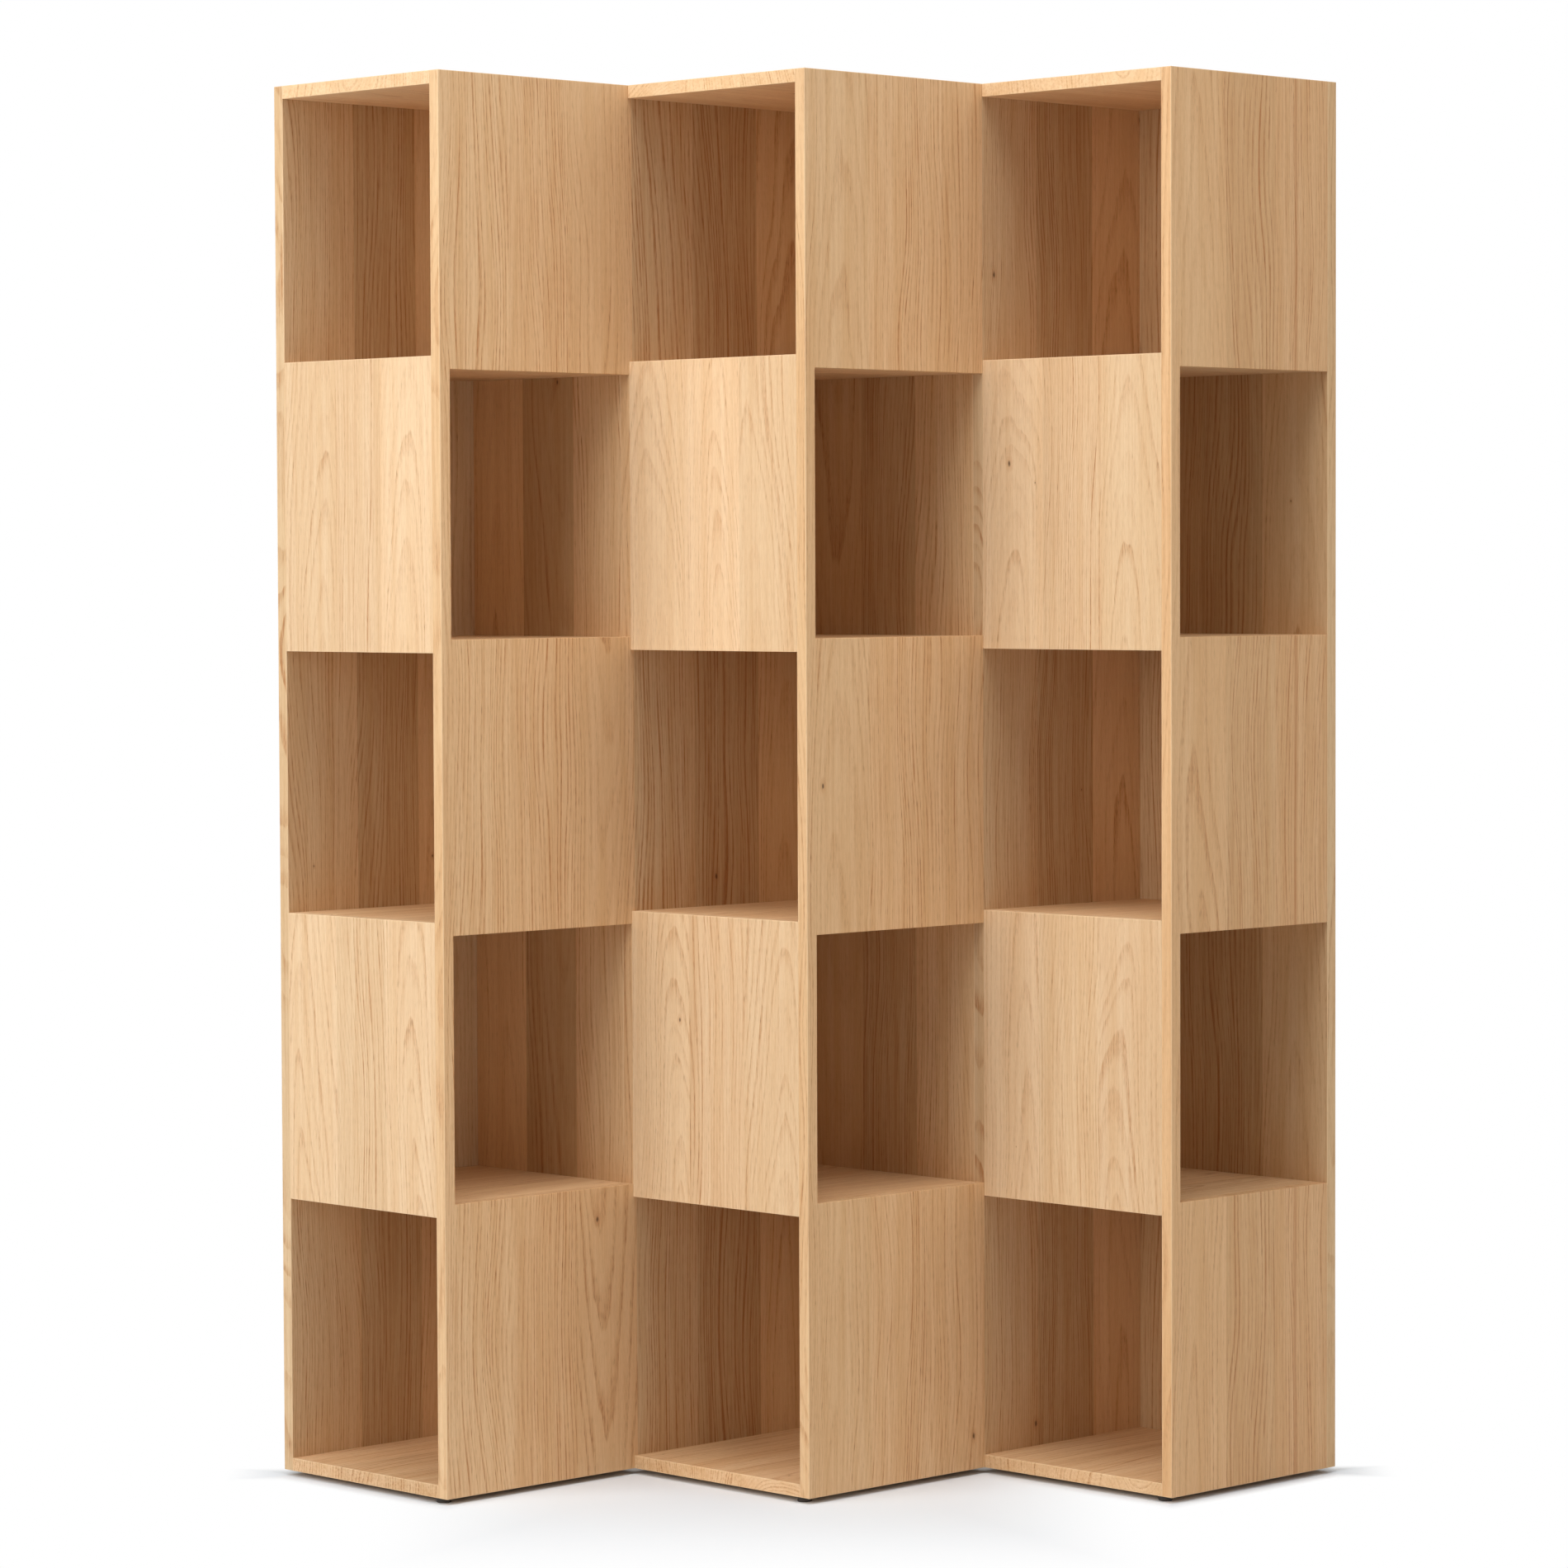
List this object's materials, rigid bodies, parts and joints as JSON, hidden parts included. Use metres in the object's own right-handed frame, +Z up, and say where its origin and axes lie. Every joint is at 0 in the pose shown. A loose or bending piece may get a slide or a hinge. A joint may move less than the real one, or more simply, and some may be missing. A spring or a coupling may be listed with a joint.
{
  "type": "zigzag bookshelf",
  "caption": "Zigzag bookshelf of pale oak: square columns set corner to corner, with open cubbies that alternate between left and right faces, on small levelling feet",
  "frame": {"origin": "on the floor under the middle of the bounding box", "axes": "+Z up, +X to the right along the row of columns, front corners towards -Y"},
  "size_m": [1.463, 0.5127, 1.926],
  "materials": {
    "oak": "matt clear oil",
    "beech_dowel": "raw, fluted",
    "brass_insert": "turned",
    "plated_steel": "zinc plated",
    "dark_pad": "moulded, matt"
  },
  "bodies": {
    "carcass": {"back_board_1": "oak", "back_board_2": "oak", "back_board_3": "oak", "back_board_dowels": "beech_dowel", "bottom_panel_1": "oak", "bottom_panel_2": "oak", "bottom_panel_3": "oak", "cap_dowels": "beech_dowel", "divider_board_1": "oak", "divider_board_2": "oak", "foot_inserts": "brass_insert", "front_panel_1_2": "oak", "front_panel_1_4": "oak", "front_panel_2_2": "oak", "front_panel_2_4": "oak", "front_panel_3_2": "oak", "front_panel_3_4": "oak", "front_panel_dowels": "beech_dowel", "left_end_board": "oak", "right_front_board": "oak", "shelf_1_1": "oak", "shelf_1_2": "oak", "shelf_1_3": "oak", "shelf_1_4": "oak", "shelf_2_1": "oak", "shelf_2_2": "oak", "shelf_2_3": "oak", "shelf_2_4": "oak", "shelf_3_1": "oak", "shelf_3_2": "oak", "shelf_3_3": "oak", "shelf_3_4": "oak", "shelf_dowels": "beech_dowel", "top_panel_1": "oak", "top_panel_2": "oak", "top_panel_3": "oak"},
    "foot_front_1": {"foot_pad_front_1": "dark_pad", "foot_stem_front_1": "plated_steel"},
    "foot_back_1": {"foot_pad_back_1": "dark_pad", "foot_stem_back_1": "plated_steel"},
    "foot_front_2": {"foot_pad_front_2": "dark_pad", "foot_stem_front_2": "plated_steel"},
    "foot_back_2": {"foot_pad_back_2": "dark_pad", "foot_stem_back_2": "plated_steel"},
    "foot_front_3": {"foot_pad_front_3": "dark_pad", "foot_stem_front_3": "plated_steel"},
    "foot_back_3": {"foot_pad_back_3": "dark_pad", "foot_stem_back_3": "plated_steel"}
  },
  "joints": [
    {"name": "level_front_1", "type": "slide", "parent": "carcass", "child": "foot_front_1", "axis": [0, 0, -1], "range_m": [0, 0.006]},
    {"name": "level_back_1", "type": "slide", "parent": "carcass", "child": "foot_back_1", "axis": [0, 0, -1], "range_m": [0, 0.006]},
    {"name": "level_front_2", "type": "slide", "parent": "carcass", "child": "foot_front_2", "axis": [0, 0, -1], "range_m": [0, 0.006]},
    {"name": "level_back_2", "type": "slide", "parent": "carcass", "child": "foot_back_2", "axis": [0, 0, -1], "range_m": [0, 0.006]},
    {"name": "level_front_3", "type": "slide", "parent": "carcass", "child": "foot_front_3", "axis": [0, 0, -1], "range_m": [0, 0.006]},
    {"name": "level_back_3", "type": "slide", "parent": "carcass", "child": "foot_back_3", "axis": [0, 0, -1], "range_m": [0, 0.006]}
  ]
}
